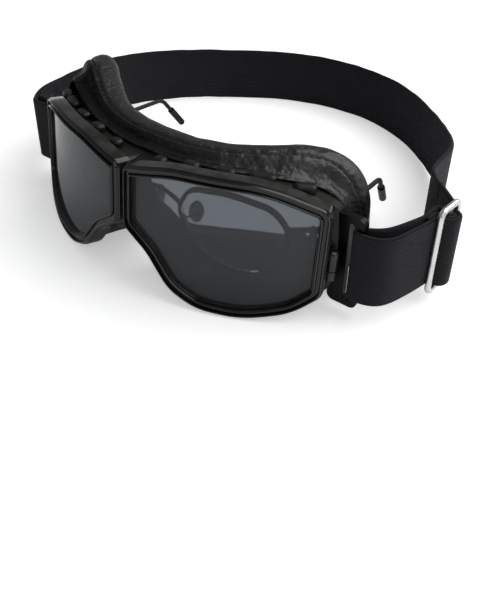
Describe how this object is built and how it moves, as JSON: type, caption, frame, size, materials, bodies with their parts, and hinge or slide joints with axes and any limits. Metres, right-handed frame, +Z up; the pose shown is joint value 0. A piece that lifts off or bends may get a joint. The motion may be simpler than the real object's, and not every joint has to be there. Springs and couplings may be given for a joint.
{
  "type": "aviator flying goggles",
  "caption": "Flying goggles with two curved smoke lenses in raised rims, ventilated eyecups, a padded face ring, an adjustable webbing strap and an inner spectacle frame.",
  "frame": {"origin": "on the table plane, below the middle of the whole object with its strap laid out behind it", "axes": "+Z up, the lenses face -Y, +X is the wearer's left, where the slider is"},
  "size_m": [0.2247, 0.2026, 0.0621],
  "materials": {
    "housing": "satin moulded rubber",
    "rim": "gloss black enamel",
    "lens": "smoke tinted",
    "gasket": "matt",
    "lock": "satin black",
    "screw": "satin",
    "lug": "satin black",
    "cushion": "grained black hide",
    "webbing": "ribbed black elastic webbing",
    "slider": "dark nickel",
    "spectacle_metal": "satin black",
    "spectacle_lens": "clear",
    "pad": "gloss black",
    "sleeve": "gloss black"
  },
  "bodies": {
    "goggles": {"left_eyecup": "housing", "right_eyecup": "housing", "left_vent_hoods": "housing", "right_vent_hoods": "housing", "bridge_block": "housing", "left_rim": "rim", "right_rim": "rim", "left_lens": "lens", "right_lens": "lens", "left_lens_gasket": "gasket", "right_lens_gasket": "gasket", "left_rim_lock": "lock", "right_rim_lock": "lock", "left_rim_screw": "screw", "right_rim_screw": "screw", "left_strap_lug": "lug", "right_strap_lug": "lug", "face_cushion": "cushion", "head_strap": "webbing", "adjuster_loop": "webbing"},
    "slider": {"slider_frame": "slider", "slider_bar": "slider"},
    "spectacles": {"spectacle_front": "spectacle_metal", "left_spectacle_lens": "spectacle_lens", "right_spectacle_lens": "spectacle_lens", "left_hinge_screw": "screw", "right_hinge_screw": "screw", "left_pad_screw": "screw", "right_pad_screw": "screw"},
    "left_temple": {"left_temple": "spectacle_metal", "left_temple_sleeve": "sleeve"},
    "right_temple": {"right_temple": "spectacle_metal", "right_temple_sleeve": "sleeve"},
    "left_pad": {"left_nose_pad": "pad"},
    "right_pad": {"right_nose_pad": "pad"}
  },
  "joints": [
    {"name": "slider_travel", "type": "slide", "parent": "goggles", "child": "slider", "axis": [0.1045, 0.9945, 0], "range_m": [-0.012, 0.004], "deforming": ["adjuster_loop"]},
    {"name": "spectacle_play", "type": "slide", "parent": "goggles", "child": "spectacles", "axis": [0, 1, 0], "range_m": [0, 0.004]},
    {"name": "left_temple_fold", "type": "hinge", "parent": "spectacles", "child": "left_temple", "pos_m": [0.06779, -0.0632, 0.033], "axis": [0, 0, 1], "range_deg": [0, 78]},
    {"name": "right_temple_fold", "type": "hinge", "parent": "spectacles", "child": "right_temple", "pos_m": [-0.06779, -0.0632, 0.033], "axis": [0, 0, -1], "range_deg": [0, 62]},
    {"name": "left_pad_tilt", "type": "hinge", "parent": "spectacles", "child": "left_pad", "pos_m": [0.01254, -0.06643, 0.0208], "axis": [-0.4695, -0.8829, 0], "range_deg": [-8, 8]},
    {"name": "right_pad_tilt", "type": "hinge", "parent": "spectacles", "child": "right_pad", "pos_m": [-0.01254, -0.06643, 0.0208], "axis": [0.4695, -0.8829, 0], "range_deg": [-8, 8]}
  ]
}
